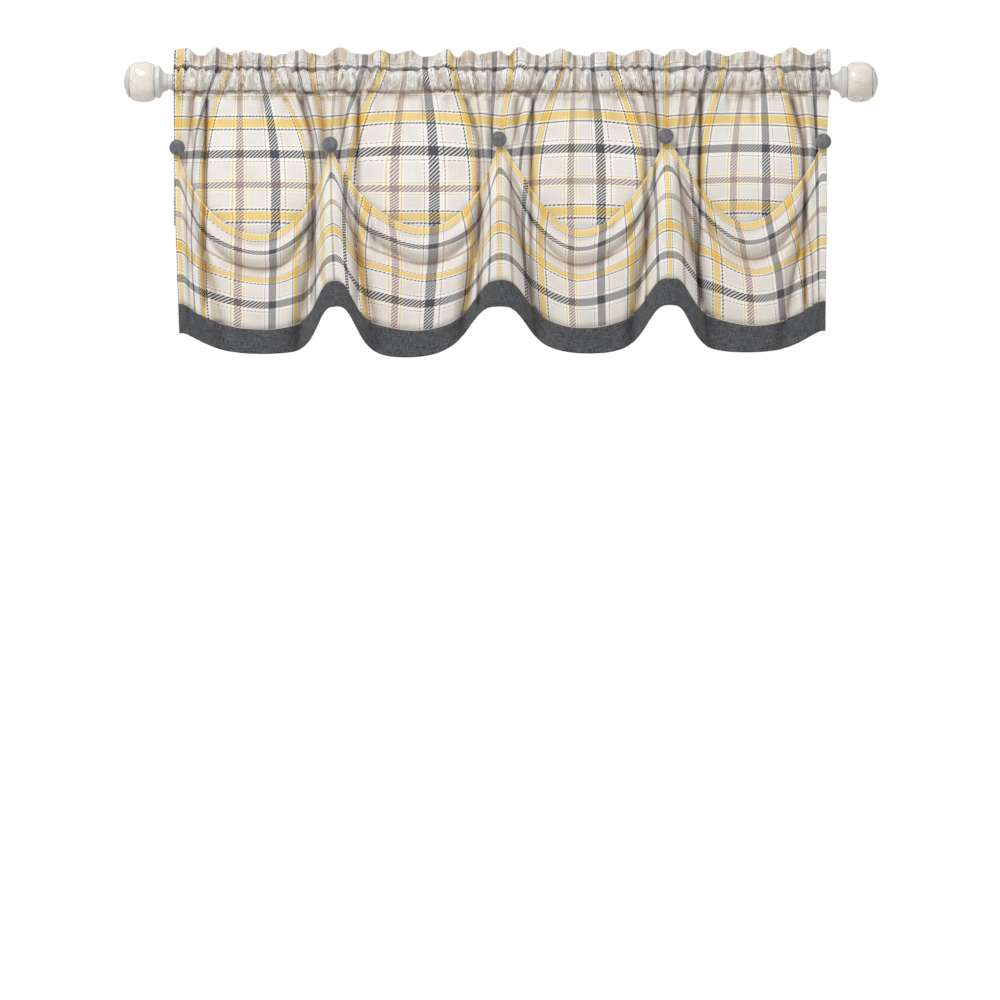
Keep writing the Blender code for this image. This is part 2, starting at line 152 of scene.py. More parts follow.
def smooth_step(start, end, value):
    share = np.clip((value - start) / (end - start), 0, 1)
    return share * share * (3 - 2 * share)


def mix(first, second, share):
    return first + (second - first) * share


def curve_through(knots, values, at):
    """A smooth curve through the points that never overshoots them."""
    knots, values, at = np.asarray(knots, float), np.asarray(values, float), np.asarray(at, float)
    rises = np.diff(values) / np.diff(knots)
    slopes = np.concatenate((rises[:1], np.zeros(len(rises) - 1), rises[-1:]))
    before, after = rises[:-1], rises[1:]
    same_way = before * after > 0
    slopes[1:-1][same_way] = (2 * before * after)[same_way] / (before + after)[same_way]
    index = np.clip(np.searchsorted(knots, at, side="right") - 1, 0, len(knots) - 2)
    width = knots[index + 1] - knots[index]
    u = np.clip((at - knots[index]) / width, 0, 1)
    return (
        (2 * u**3 - 3 * u**2 + 1) * values[index]
        + (u**3 - 2 * u**2 + u) * width * slopes[index]
        + (3 * u**2 - 2 * u**3) * values[index + 1]
        + (u**3 - u**2) * width * slopes[index + 1]
    )


def stripe_line(shares_of_swags, hung_from):
    """Places across the cloth, and the x that each hangs at."""
    places, positions = [CLOTH_START], [hung_from[0] - BEYOND_BUTTONS]
    for number, stripes in enumerate(shares_of_swags):
        places.append(BUTTON_PLACE[number])
        positions.append(hung_from[number])
        for stripe, share in enumerate(stripes):
            places.append(np.floor(BUTTON_PLACE[number]) + 1 + stripe / 3)
            positions.append(mix(hung_from[number], hung_from[number + 1], share))
    places += [BUTTON_PLACE[-1], CLOTH_END]
    positions += [hung_from[-1], hung_from[-1] + BEYOND_BUTTONS]
    return places, positions


heading_line = (
    [CLOTH_START, *(np.arange(len(HEADING_X)) / 3), CLOTH_END],
    [HEADING_ENDS[0], *HEADING_X, HEADING_ENDS[1]],
)
panel_line = stripe_line(PANEL_SHARES, BUTTON_X)
edge_line = stripe_line(EDGE_SHARES, BUTTON_X)
front_line = stripe_line(FRONT_SHARES, mix(BUTTON_X, HEM_X, 0.5))
hem_line = stripe_line(HEM_SHARES, HEM_X)


def falls(z):
    """x, at height z, of the five lines that run from the buttons to the hem below them."""
    z = np.asarray(z, float)
    return [
        mix(x, low_x, np.clip((top - z) / (top - low), 0, 1))
        for x, top, low_x, low in zip(BUTTON_X, BUTTON_Z, HEM_X, HEM_Z)
    ]


def swag_and_share(x, z=0.0):
    """The swag that x lies in at height z, and how far across it."""
    lines = [np.broadcast_to(line, np.shape(x)) for line in falls(z)]
    number = sum((x > line).astype(int) for line in lines[1:4])
    left, right = np.choose(number, lines[:4]), np.choose(number, lines[1:])
    return number, np.clip((x - left) / (right - left), 0, 1)


def pull_of_buttons(share, reach):
    """From 1 at the buttons on the left and on the right to nearly 0 in mid swag."""
    return 1 / (1 + (share / reach) ** PULL_POWER), 1 / (1 + ((1 - share) / reach) ** PULL_POWER)


def edge_z(x, rounded=0.0):
    """Height of the tuck's edge, or of a row below it that passes over the buttons' falls in an arch."""
    number, share = swag_and_share(x)
    low_at = LOW_AT[number]
    from_left = share < low_at
    near = np.where(from_left, share / low_at, (1 - share) / (1 - low_at))
    if rounded > 0:
        near = near * (1 - np.exp(-((near / rounded) ** 1.3)))
    fallen = np.sin(np.pi / 2 * near ** np.where(from_left, LEFT_FALL[number], RIGHT_FALL[number]))
    button_z = np.where(from_left, BUTTON_Z[number], BUTTON_Z[number + 1])
    return mix(button_z, LOW_Z[number], fallen)


def hem_z(x):
    """Height of the valance's lower edge."""
    number, share = swag_and_share(x, -1.0)
    low = HEM_LOW_Z[number]
    left, right = share / HEM_LEFT[number], (1 - share) / HEM_RIGHT[number]
    # the hem rises in an arch to the three inner falls, and in a plain slope to the side edges
    left_pull = np.where(number == 0, np.exp(-(left**1.4)), 1 / (1 + left**PULL_POWER))
    right_pull = np.where(number == 3, np.exp(-(right**1.4)), 1 / (1 + right**PULL_POWER))
    return low + (HEM_Z[number] - low) * left_pull + (HEM_Z[number + 1] - low) * right_pull


def turn_z(x):
    """Height of the turn, hidden behind the swags, where the panel goes up into the tuck."""
    share = swag_and_share(x)[1]
    return edge_z(x) - mix(0.052, 0.100, np.maximum(*pull_of_buttons(share, 0.2)))


def ripple(place):
    """The gathers, an uneven wave from -1 to 1 across the cloth."""
    return np.sin(2 * np.pi * (1.5 * place + 0.22 * np.sin(2.1 * place) + 0.1))


def pleats(place):
    """The close puckers that the stitching draws in: round lobes, 0 in the sharp creases to 1."""
    turn = 2.6 * place + 0.30 * np.sin(3.7 * place) + 0.14 * np.sin(9.1 * place + 1.0)
    return np.abs(np.sin(2 * np.pi * turn)) ** 0.7 * (0.75 + 0.25 * np.sin(5.3 * place + 1.0))


def soft_wander(a, b, seed):
    """A slow uneven wave over the cloth, about -1 to 1."""
    return (
        np.sin(1.7 * a + 2.3 * b + seed) + np.sin(3.1 * a - 1.9 * b + 2.1 * seed)
        + np.sin(5.3 * a + 4.7 * b + 0.7 * seed)
    ) / 3


FOLDS = (
    # share of the swag at the top stitching, at the bottom one and level with the button; from and
    # to what height it runs; half width; height, less than 0 in a crease; how much it shifts
    (0.165, 0.160, 0.158, 0.010, -0.092, 0.0062, 0.0130, 1),
    (0.285, 0.205, 0.195, 0.016, -0.300, 0.0030, -0.0165, 1),
    (0.100, 0.105, 0.112, -0.006, -0.085, 0.0036, -0.0060, 1),
    (0.310, 0.300, 0.290, -0.006, -0.050, 0.0070, 0.0030, 1),
    (0.420, 0.405, 0.400, 0.004, -0.036, 0.0030, -0.0040, 0),
    (0.555, 0.560, 0.560, 0.010, -0.050, 0.0028, -0.0055, 0),
    (0.620, 0.630, 0.640, -0.006, -0.060, 0.0080, 0.0030, 0),
    (0.690, 0.700, 0.720, 0.004, -0.034, 0.0030, -0.0035, 0),
    (0.765, 0.800, 0.885, 0.012, -0.300, 0.0034, -0.0150, 0),
    (0.840, 0.870, 0.918, 0.006, -0.100, 0.0062, 0.0105, 0),
    (0.930, 0.945, 0.962, 0.000, -0.092, 0.0034, -0.0090, 0),
)


def folds(x, z):
    """The folds and creases that run down from the heading to the buttons on either side."""
    number, share = swag_and_share(x)
    width = BUTTON_X[number + 1] - BUTTON_X[number]
    relief = np.zeros(np.shape(x))
    for row, (top, stitched, hung, start, stop, half_width, height, shifts) in enumerate(FOLDS):
        middle = np.interp(z, (-0.080, -0.020, 0.012), (hung, stitched, top))
        middle = middle + FOLD_SHIFT[number] * shifts
        aside = (share - middle) * width / half_width
        present = smooth_step(-0.004, 0.010, start - z) * smooth_step(-0.016, 0.012, z - stop)
        strength = height * (1 + 0.22 * np.sin(2.0 * number + 1.7 * row))
        relief = relief + strength * np.exp(-(aside**2)) * present
    return relief


def drawn_in(x, z):
    """The small rays of creases around each button."""
    relief = np.zeros(np.shape(x))
    for button_x, button_z in zip(BUTTON_X, BUTTON_Z):
        across_it, up_it = x - button_x, z - button_z
        reach = np.hypot(across_it, up_it)
        rays = 0.5 + 0.5 * np.cos(9 * np.arctan2(across_it, up_it) + 40 * button_x)
        relief = relief - 0.0022 * rays * np.exp(-((reach / 0.020) ** 2))
    return relief


def panel_depth(place, x, z):
    """How far the upper panel stands forward of the rod's axis."""
    below = POCKET_STITCH_Z - z
    gathers = 0.0040 * ripple(place) * (1 - smooth_step(0.015, 0.085, below))
    gathers += 0.0042 * pleats(place) * (1 - smooth_step(0.003, 0.038, below))
    full = smooth_step(0.0, 0.022, below)
    drape = 0.0014 * soft_wander(3.0 * place, 30.0 * z, 1.3) * full
    stitched = smooth_step(0, 0.006, below)
    gathers = gathers * stitched + 0.0030 * pleats(place) * (1 - stitched)
    relief = (folds(x, z) + drawn_in(x, z)) * smooth_step(0.004, 0.014, below)
    return SEAM_FORWARD + STITCHED_HALF_GAP + 0.0028 + 0.0012 * full + gathers + relief + drape


FRONT_FOLDS = (
    # swag, share and z at the top, share and z at the bottom, half width, height
    (0, 0.050, -0.120, 0.045, -0.320, 0.0030, -0.0055),
    (0, 0.105, -0.190, 0.120, -0.330, 0.0050, 0.0035),
    (0, 0.150, -0.215, 0.060, -0.250, 0.0040, -0.0040),
    (0, 0.800, -0.175, 0.925, -0.270, 0.0042, -0.0060),
    (0, 0.350, -0.285, 0.250, -0.350, 0.0090, -0.0022),
    (1, 0.215, -0.150, 0.265, -0.235, 0.0030, -0.0065),
    (1, 0.238, -0.165, 0.292, -0.230, 0.0030, 0.0055),
    (1, 0.380, -0.222, 0.440, -0.232, 0.0060, -0.0040),
    (1, 0.850, -0.160, 0.880, -0.280, 0.0040, -0.0050),
    (1, 0.640, -0.280, 0.760, -0.350, 0.0090, -0.0022),
    (2, 0.125, -0.150, 0.130, -0.225, 0.0032, -0.0065),
    (2, 0.700, -0.160, 0.640, -0.235, 0.0045, -0.0040),
    (2, 0.870, -0.165, 0.890, -0.275, 0.0040, -0.0050),
    (2, 0.330, -0.285, 0.260, -0.350, 0.0090, -0.0022),
    (3, 0.125, -0.140, 0.150, -0.250, 0.0032, -0.0065),
    (3, 0.250, -0.165, 0.310, -0.225, 0.0045, -0.0035),
    (3, 0.800, -0.180, 0.860, -0.310, 0.0050, 0.0035),
    (3, 0.930, -0.130, 0.950, -0.310, 0.0035, -0.0060),
)


def front_relief(number, share, z):
    """The lesser folds and creases of each swag."""
    width = BUTTON_X[number + 1] - BUTTON_X[number]
    relief = np.zeros(np.shape(share))
    for swag, top_share, top, low_share, low, half_width, height in FRONT_FOLDS:
        middle = mix(top_share, low_share, np.clip((top - z) / (top - low), 0, 1))
        aside = (share - middle) * width / half_width
        present = smooth_step(-0.006, 0.018, top - z) * smooth_step(-0.010, 0.018, z - low)
        relief = relief + (number == swag) * height * np.exp(-(aside**2)) * present
    return relief


def front_depth(place, x, z, below_edge):
    """How far the front stands forward, with a cone of cloth below each button."""
    number, share = swag_and_share(x, z)
    distances = np.array([np.abs(x - line) for line in falls(z)])
    nearest = distances.argmin(axis=0)
    below_button = np.maximum(0.0, BUTTON_Z[nearest] - z)
    half_width = CONE_TOP_HALF_WIDTH + CONE_SPREAD * below_button
    from_middle = distances.min(axis=0) / half_width
    cone = (1 - np.minimum(1.0, from_middle) ** 2.4) ** 0.75
    cone = cone * STAND_OFF[nearest] * smooth_step(0.009, 0.10, below_button)
    shrink = mix(1.0, 0.45, np.maximum(*pull_of_buttons(share, 0.2)))
    swag = curve_through(SWAG_SECTION[:, 0], SWAG_SECTION[:, 1], below_edge / shrink)
    swag = swag * smooth_step(0.95, 1.0 + 0.019 / half_width, from_middle)
    # a crease runs down on both sides of the fall
    valley = np.exp(-(((from_middle - 1.08) / 0.12) ** 2)) * smooth_step(0.030, 0.060, below_button)
    valley = 0.0080 * valley * smooth_step(-0.345, -0.290, z)
    drape = 0.0016 * soft_wander(2.6 * place, 26.0 * z, 4.1) * smooth_step(0.0, 0.03, below_edge)
    relief = front_relief(number, share, z) * smooth_step(0.002, 0.014, below_edge)
    forward = np.hypot(cone, swag) - valley + drape + relief
    # no crease reaches back to the tuck behind it, but it may go deep below the tuck's turn
    deepest = mix(-0.0015, -0.0200, smooth_step(0.002, 0.020, turn_z(x) - z))
    return panel_depth(place, x, z) + 2 * TUCK_LAYER + np.maximum(forward, deepest)


place = np.linspace(CLOTH_START, CLOTH_END, COLUMNS)  # across the cloth, in repeats
heading_x = curve_through(*heading_line, place)
panel_x = curve_through(*panel_line, place)
edge_x = curve_through(*edge_line, place)
front_x = curve_through(*front_line, place)
hem_x = curve_through(*hem_line, place)

rows = []  # (x, y, z, cloth) of every row of the cloth, down its face


def add_row(x, y, z, cloth):
    rows.append([np.broadcast_to(part, place.shape) for part in (x, y, z, cloth)])


# the back of the pocket, from its raw edge up to the top stitching
crinkle = 0.0034 * (pleats(place) - 0.5) + 0.0012 * np.sin(4.1 * place)  # of the rows of stitching
seam_y = STITCHED_HALF_GAP - SEAM_FORWARD
add_row(heading_x, seam_y + 0.0006, POCKET_STITCH_Z - TURNED_IN, -POCKET_STITCH - TURNED_IN)
add_row(heading_x, seam_y, POCKET_STITCH_Z + crinkle, -POCKET_STITCH)
for angle in np.radians(np.linspace(-68, 68, 9)):
    radius = POCKET_RADIUS + 0.0006 * (1 + ripple(place)) + 0.0040 * pleats(place) * np.cos(angle) ** 0.5
    cloth = -mix(POCKET_STITCH, TOP_STITCH, angle / np.pi + 0.5)
    add_row(heading_x, radius * np.cos(angle), radius * np.sin(angle), cloth)

# the heading, which stands up in ruffles: up its back and down its front, in shares of its height
up_the_back = (0.0, 0.18, 0.4, 0.65, 0.88, 0.985)
down_the_front = (1.0, 0.97, 0.88, 0.7, 0.5, 0.3, 0.14, 0.0)
heading_front = len(rows) + len(up_the_back)  # the first row that faces forward
ruffle_count = np.interp(heading_x, RUFFLES, np.arange(len(RUFFLES)))
unevenness = 0.75 + 0.35 * np.sin(1.9 * ruffle_count + 0.7)
ruffle_top = HEADING_TOP + 0.0046 * unevenness * np.cos(2 * np.pi * ruffle_count)
ruffle_top = ruffle_top + 0.0010 * np.sin(23 * place) + 0.0012 * np.sin(2.3 * place)
ruffle_swing = np.sin(2 * np.pi * ruffle_count + 0.6 + 0.5 * np.sin(1.3 * ruffle_count))
ruffle_swing = ruffle_swing * (0.8 + 0.4 * unevenness) * 0.9
for side, shares in ((1, up_the_back), (-1, down_the_front)):
    for share in shares:
        z = mix(TOP_STITCH_Z + crinkle, ruffle_top, share)
        swing = mix(0.0010, 0.0085, share**0.8) * ruffle_swing
        gap = STITCHED_HALF_GAP + 0.0006 * np.sin(np.pi * share)
        gap = gap + 0.0030 * pleats(place) * (1 - share) ** 1.5 + 0.0006 * pleats(place) * (1 - share)
        round_over = 0.0 if share > 0.995 else 1.0
        lean = 0.0015 * ruffle_swing * share * np.cos(2 * np.pi * ruffle_count)
        cloth = -side * TOP_STITCH * (1 - share)
        add_row(heading_x + lean, -swing + side * gap * round_over, z, cloth)


def settled_x(z):
    """x of every place across the cloth, on the way from the heading to where the panel hangs."""
    not_yet = np.clip((z - SETTLED_AT) / (SETTLING_FROM - SETTLED_AT), 0, 1)
    return mix(panel_x, heading_x, not_yet**1.8)


# the front of the pocket, over the rod
for angle in np.radians(np.linspace(74, -28, 12)):
    fullness = np.cos(angle) ** 0.5
    z = POCKET_RADIUS * np.sin(angle)
    x = settled_x(z)
    askew = place + 0.05 * np.sin(3.1 * place) * (z / POCKET_RADIUS)
    loose = 0.0008 * (1 + ripple(place)) + 0.0076 * pleats(askew) + np.maximum(folds(x, z), -0.006)
    radius = POCKET_RADIUS + np.maximum(loose, 0) * mix(0.5, 1.0, fullness)
    cloth = mix(TOP_STITCH, POCKET_STITCH, 0.5 - angle / np.pi)
    add_row(x, -radius * np.cos(angle), radius * np.sin(angle) + crinkle * (1 - fullness), cloth)
x, leaves_rod_y, leaves_rod_z, leaves_rod_cloth = rows[-1]
stitch_y = -panel_depth(place, settled_x(POCKET_STITCH_Z), POCKET_STITCH_Z)
for share in (0.3, 0.55, 0.8):
    z = mix(leaves_rod_z, POCKET_STITCH_Z + crinkle, share)
    y = mix(leaves_rod_y, stitch_y, share**1.5)
    add_row(settled_x(z), y, z, mix(leaves_rod_cloth, POCKET_STITCH, share))

# the upper panel, down to the turn of the tuck
swag_number, share_of_swag = swag_and_share(panel_x)
panel_bottom = turn_z(panel_x)
row_cloth = (POCKET_STITCH, *(YELLOW_AT + np.arange(4) * REPEAT / 3), TURN_CLOTH)
for down in np.concatenate((np.linspace(0, 0.17, 12), np.linspace(0.20, 1.0, 24))):
    z = mix(POCKET_STITCH_Z, panel_bottom, down)
    below = POCKET_STITCH_Z - z
    cloth = POCKET_STITCH + below * 0.975  # in line with the buttons
    for number, heights in enumerate(PANEL_ROWS):
        row_below = (0.0, *(POCKET_STITCH_Z - np.array(heights)), POCKET_STITCH_Z - TURN_Z)
        hung = curve_through(row_below, row_cloth, below)
        in_swag = (swag_number == number) * np.sin(np.pi * share_of_swag) ** 0.6
        cloth = mix(cloth, hung, in_swag)
    x = settled_x(z)
    puckered = crinkle * (1 - smooth_step(0.0, 0.006, below))
    add_row(x, -panel_depth(place, x, z), z + puckered, cloth)
turned_at = rows[-1][3]
panel_end = len(rows)
turn_y = -panel_depth(place, panel_x, panel_bottom) - 0.5 * TUCK_LAYER
add_row(panel_x, turn_y, panel_bottom - 0.002, turned_at + 0.003)

# the back of the tuck, up to its edge
for share in (0.06, 0.3, 0.6, 0.85, 0.97):
    x = mix(panel_x, edge_x, share)
    z = mix(turn_z(x), edge_z(x), share)
    add_row(x, -panel_depth(place, x, z) - TUCK_LAYER, z, mix(turned_at + 0.006, TUCK_EDGE, share))
edge_height = edge_z(edge_x)
add_row(edge_x, -panel_depth(place, edge_x, edge_height) - 1.5 * TUCK_LAYER, edge_height, TUCK_EDGE)
front_start = len(rows)


def front_point(cloth):
    """(x, y, z) of a row of the front, by the length of cloth below the tuck's edge."""
    middle, end = MID_FRONT, BAND_SEAM + BAND_DEPTH - TUCK_EDGE
    # one smooth curve from the tuck's edge, past the middle row, to the hem
    x = (
        edge_x * (cloth - middle) * (cloth - end) / (middle * end)
        + front_x * cloth * (cloth - end) / (middle * (middle - end))
        + hem_x * cloth * (cloth - middle) / (end * (end - middle))
    )
    share = swag_and_share(edge_x)[1]
    mid = curve_through(DROP[:, 0], DROP[:, 1], cloth)
    straight = curve_through(DROP[:, 0], DROP[:, 2], cloth)
    fallen = mix(mid, straight, np.maximum(*pull_of_buttons(share, 0.22)))
    arch = edge_z(edge_x, ARCH_ROUNDING * smooth_step(0.0, middle, cloth))
    z = mix(arch, hem_z(hem_x), fallen)
    return x, -front_depth(place, x, z, edge_height - z), z


# the front of the swags, down to the seam with the band
for cloth in np.concatenate((
    (0.0025, 0.006, 0.010, 0.015), np.linspace(0.021, 0.096, 19),
    np.linspace(0.102, BAND_SEAM - TUCK_EDGE, 13),
)):
    add_row(*front_point(cloth), TUCK_EDGE + cloth)


def hollows(forward):
    """0 on a crown and up to 1 in a crease, from how far each point lies behind those around it. It sets how
    much painted shade the creases get.
    """
    around = forward
    for axis, reach in ((0, 3.0), (1, 5.0)):  # so many rows and columns away
        margin = int(3 * reach)
        weights = np.exp(-((np.arange(-margin, margin + 1) / reach) ** 2))
        margins = [(margin, margin) if direction == axis else (0, 0) for direction in (0, 1)]
        padded = np.pad(around, margins, mode="edge")
        around = np.apply_along_axis(np.convolve, axis, padded, weights / weights.sum(), mode="valid")
    return np.clip((around - forward) / DEEP_HOLLOW, 0, 1)


def woven_sheet(name, rows, thickness, v_of_cloth, faces_forward):
    """A sheet of cloth over rows of points, laid out flat in its UV map as it was woven.

    faces_forward lists the runs of rows that are seen: the first, the one after the last, and
    how much painted shade all of the run gets, on top of the painted shade of its creases. The other
    rows count as standing in the open.
    """
    points = np.array([row[:3] for row in rows]).transpose(0, 2, 1)
    row_count, column_count = points.shape[:2]
    corner = (np.arange(row_count - 1)[:, None] * column_count + np.arange(column_count - 1)).ravel()
    faces = np.stack((corner, corner + column_count, corner + column_count + 1, corner + 1), axis=1)
    mesh = bpy.data.meshes.new(name)
    mesh.from_pydata(points.reshape(-1, 3).tolist(), [], faces.tolist())
    flat = np.empty((row_count, column_count, 2))
    flat[..., 0] = place
    flat[..., 1] = [v_of_cloth(row[3]) for row in rows]
    mesh.uv_layers.new(name="weave").data.foreach_set("uv", flat.reshape(-1, 2)[faces.ravel()].ravel())
    # painted shade: how far each point's colour is darkened, from its run's shade and how deep it lies in a
    # crease
    painted_shade_share = np.zeros((row_count, column_count))
    for first, last, shade in faces_forward:
        painted_shade_share[first:last] = shade + (1 - shade) * hollows(-points[first:last, :, 1])
    mesh.attributes.new("painted_shade", "FLOAT", "POINT").data.foreach_set("value", painted_shade_share.ravel())
    mesh.shade_smooth()
    piece = bpy.data.objects.new(name, mesh)
    bpy.context.scene.collection.objects.link(piece)
    body = piece.modifiers.new("cloth thickness", "SOLIDIFY")
    body.thickness = thickness
    body.offset = 0.0
    return piece


# painted shade: the swags are darkened a little, as they hang in the shade of the tuck, and the falls
# between them, which stand out of it, are not
front_shade = SWAG_SHADE * (1 - np.maximum(*pull_of_buttons(swag_and_share(edge_x)[1], 0.2)))
valance = woven_sheet(
    "valance", rows, CLOTH_THICKNESS, lambda cloth: (YELLOW_AT - cloth) / REPEAT,
    ((heading_front, panel_end, 0.0), (front_start, len(rows), front_shade)),
)


class Finish:
    """A node-based finish in the making."""

    def __init__(self, name):
        self.material = bpy.data.materials.new(name)
        self.material.use_nodes = True
        self.tree = self.material.node_tree
        self.shader = self.tree.nodes["Principled BSDF"]

    def node(self, kind, inputs=(), **settings):
        made = self.tree.nodes.new("ShaderNode" + kind)
        for key, value in settings.items():
            setattr(made, key, value)
        for key, value in dict(inputs).items():
            self.put(made.inputs[key], value)
        return made

    def put(self, socket, value):
        if isinstance(value, bpy.types.NodeSocket):
            self.tree.links.new(value, socket)
        else:
            socket.default_value = value

    def maths(self, operation, first, second=0.0, third=0.0):
        node = self.node("Math", operation=operation)
        for socket, value in zip(node.inputs, (first, second, third)):
            self.put(socket, value)
        return node.outputs[0]

    def blend(self, share, first, second, how="MIX"):
        node = self.node("Mix", data_type="RGBA", blend_type=how)
        for key, value in (("Factor", share), ("A", first), ("B", second)):
            self.put(node.inputs[key], value)
        return node.outputs["Result"]

    def noise(self, scale, detail=2.0, vector=None, stretch=(1, 1, 1)):
        source = vector or self.node("TexCoord").outputs["Object"]
        spread = self.node("Mapping", {"Vector": source, "Scale": stretch})
        return self.node(
            "TexNoise", {"Vector": spread.outputs[0], "Scale": scale, "Detail": detail}
        ).outputs["Fac"]

    def between(self, value, low, high, to_low=0.0, to_high=1.0, smooth=True):
        return self.node(
            "MapRange",
            {"Value": value, "From Min": low, "From Max": high, "To Min": to_low, "To Max": to_high},
            interpolation_type="SMOOTHSTEP" if smooth else "LINEAR",
        ).outputs["Result"]

    def bump(self, height, distance, strength=1.0, over=None):
        node = self.node("Bump", {"Height": height, "Distance": distance, "Strength": strength})
        if over is not None:
            self.put(node.inputs["Normal"], over)
        return node.outputs["Normal"]


def colour(red, green, blue):
    """A screen colour, 0 to 255, as light."""
    channels = np.array((red, green, blue)) / 255
    light = np.where(channels <= 0.04045, channels / 12.92, ((channels + 0.055) / 1.055) ** 2.4)
    return (*light.tolist(), 1.0)


GROUND = colour(231, 229, 225)
MARGIN = colour(251, 251, 251)
YELLOW = colour(238, 192, 88)
THIN_YELLOW = colour(232, 194, 112)
CHARCOAL = colour(68, 73, 80)
BLACK = colour(46, 50, 58)
TAUPE = colour(166, 146, 136)
# The stripes across one repeat, from the middle of the yellow one: where each colour starts, and
# whether its threads float over the others in slanting strokes
STRIPES = (
    (0.0000, YELLOW, 0), (0.0460, MARGIN, 0), (0.0615, BLACK, 1), (0.0765, MARGIN, 0),
    (0.0960, GROUND, 0), (0.2560, MARGIN, 0), (0.2690, THIN_YELLOW, 0), (0.2800, MARGIN, 0),
    (0.2985, TAUPE, 1), (0.3680, MARGIN, 0), (0.3867, THIN_YELLOW, 0), (0.3977, MARGIN, 0),
    (0.4100, GROUND, 0), (0.5660, MARGIN, 0), (0.5800, TAUPE, 1), (0.5890, MARGIN, 0),
    (0.6250, CHARCOAL, 1), (0.7083, MARGIN, 0), (0.7440, TAUPE, 1), (0.7530, MARGIN, 0),
    (0.7670, GROUND, 0), (0.9040, MARGIN, 0), (0.9235, BLACK, 1), (0.9385, MARGIN, 0),
    (0.9540, YELLOW, 0),
)

plaid = Finish("plaid cloth")
weave = plaid.node("UVMap", uv_map="weave").outputs["UV"]
across_down = plaid.node("SeparateXYZ", {"Vector": weave})
wander_a = plaid.maths("SUBTRACT", plaid.noise(9.0, 3.0, weave), 0.5)
wander_b = plaid.maths("SUBTRACT", plaid.noise(11.0, 3.0, weave, (1, 1.3, 1)), 0.5)
across = plaid.maths("MULTIPLY_ADD", wander_a, 0.010, across_down.outputs["X"])
down = plaid.maths("MULTIPLY_ADD", wander_b, 0.010, across_down.outputs["Y"])


def stripes(position):
    """The colour of the stripe at a position, in repeats, and whether its threads float."""
    # 20 whole repeats are added so that the position is above 0 everywhere
    ramp = plaid.node("ValToRGB", {"Fac": plaid.maths("FRACT", plaid.maths("ADD", position, 20.0))})
    ramp.color_ramp.interpolation = "CONSTANT"
    stops = ramp.color_ramp.elements
    for number, (start, shade, floats) in enumerate(STRIPES):
        stop = stops[number] if number < 2 else stops.new(start)
        stop.position = start
        stop.color = (*shade[:3], floats)
    return ramp.outputs["Color"], ramp.outputs["Alpha"]


warp_colour, warp_floats = stripes(across)
weft_colour, weft_floats = stripes(down)
STROKES_PER_REPEAT = 28.0
slant = plaid.maths("MULTIPLY", plaid.maths("SUBTRACT", across, down), STROKES_PER_REPEAT)
past_stroke = plaid.maths("FRACT", plaid.maths("ADD", slant, 700.0))
stroke = plaid.maths("ABSOLUTE", plaid.maths("SUBTRACT", past_stroke, 0.5))
warp_on_top = plaid.between(stroke, 0.14, 0.26, 0.14, 0.96)
weft_on_top = plaid.between(stroke, 0.24, 0.36, 0.96, 0.14)
pale_warp = plaid.blend(warp_floats, warp_colour, MARGIN)
pale_weft = plaid.blend(weft_floats, weft_colour, MARGIN)
both = plaid.blend(1.0, pale_warp, pale_weft, "MULTIPLY")
cloth_colour = plaid.node("Gamma", {"Color": both, "Gamma": 0.5}).outputs["Color"]
cloth_colour = plaid.blend(plaid.maths("MULTIPLY", warp_floats, warp_on_top), cloth_colour, warp_colour)
cloth_colour = plaid.blend(plaid.maths("MULTIPLY", weft_floats, weft_on_top), cloth_colour, weft_colour)
# slubs in the yarn both ways, and a slow unevenness of the dye
slub_down = plaid.noise(1.0, 2.0, weave, (120, 5, 1))
slub_across = plaid.noise(1.0, 2.0, weave, (5, 120, 1))
slubs = plaid.maths("ADD", slub_down, slub_across)
tone = plaid.between(slubs, 0.7, 1.3, 0.955, 1.035, smooth=False)
toned = plaid.node("HueSaturation", {"Color": cloth_colour, "Value": tone})
# painted shade: the colour is darkened toward a warm brown in the creases and over the swags, as light that
# reaches the hollows has come through the cloth, and it is warm
painted_shade = plaid.node("Attribute", attribute_name="painted_shade").outputs["Fac"]
painted_shade_colour = plaid.blend(
    plaid.maths("MULTIPLY", painted_shade, 0.40), toned.outputs["Color"], colour(200, 168, 142), "MULTIPLY"
)
# the small puckers of the gathers fade out below the lower row of stitching; painted shade darkens the
# creases between them toward a warm brown
puckers = plaid.noise(95.0, 3.0, stretch=(1.0, 0.6, 0.30))
height_up = plaid.node("SeparateXYZ", {"Vector": plaid.node("TexCoord").outputs["Object"]}).outputs["Z"]
near_rod = plaid.between(height_up, -0.028, -0.013)
painted_pucker_shade = plaid.maths("MULTIPLY", near_rod, plaid.between(puckers, 0.30, 0.50, 0.75, 0.0))
painted_shade_colour = plaid.blend(painted_pucker_shade, painted_shade_colour, colour(206, 184, 164), "MULTIPLY")
plaid.put(plaid.shader.inputs["Base Color"], painted_shade_colour)
thread_inputs = {"Vector": weave, "Scale": 22.0, "Distortion": 0.6, "Detail": 1.0}
threads_across = plaid.node("TexWave", thread_inputs, bands_direction="X")
threads_down = plaid.node("TexWave", thread_inputs, bands_direction="Y")
threads = plaid.maths("MULTIPLY", threads_across.outputs["Fac"], threads_down.outputs["Fac"])
surface = plaid.bump(threads, 0.0003, 0.5)
surface = plaid.bump(slubs, 0.0004, 0.5, surface)
creases = plaid.noise(26.0, 4.0, stretch=(1.0, 1.0, 0.45))
surface = plaid.bump(creases, 0.004, 0.40, surface)
drawn_up = plaid.maths("MULTIPLY", near_rod, plaid.between(puckers, 0.30, 0.70))
surface = plaid.bump(drawn_up, 0.0070, 1.0, surface)
plaid.put(plaid.shader.inputs["Normal"], surface)
plaid.shader.inputs["Roughness"].default_value = 0.92
plaid.shader.inputs["Specular IOR Level"].default_value = 0.25
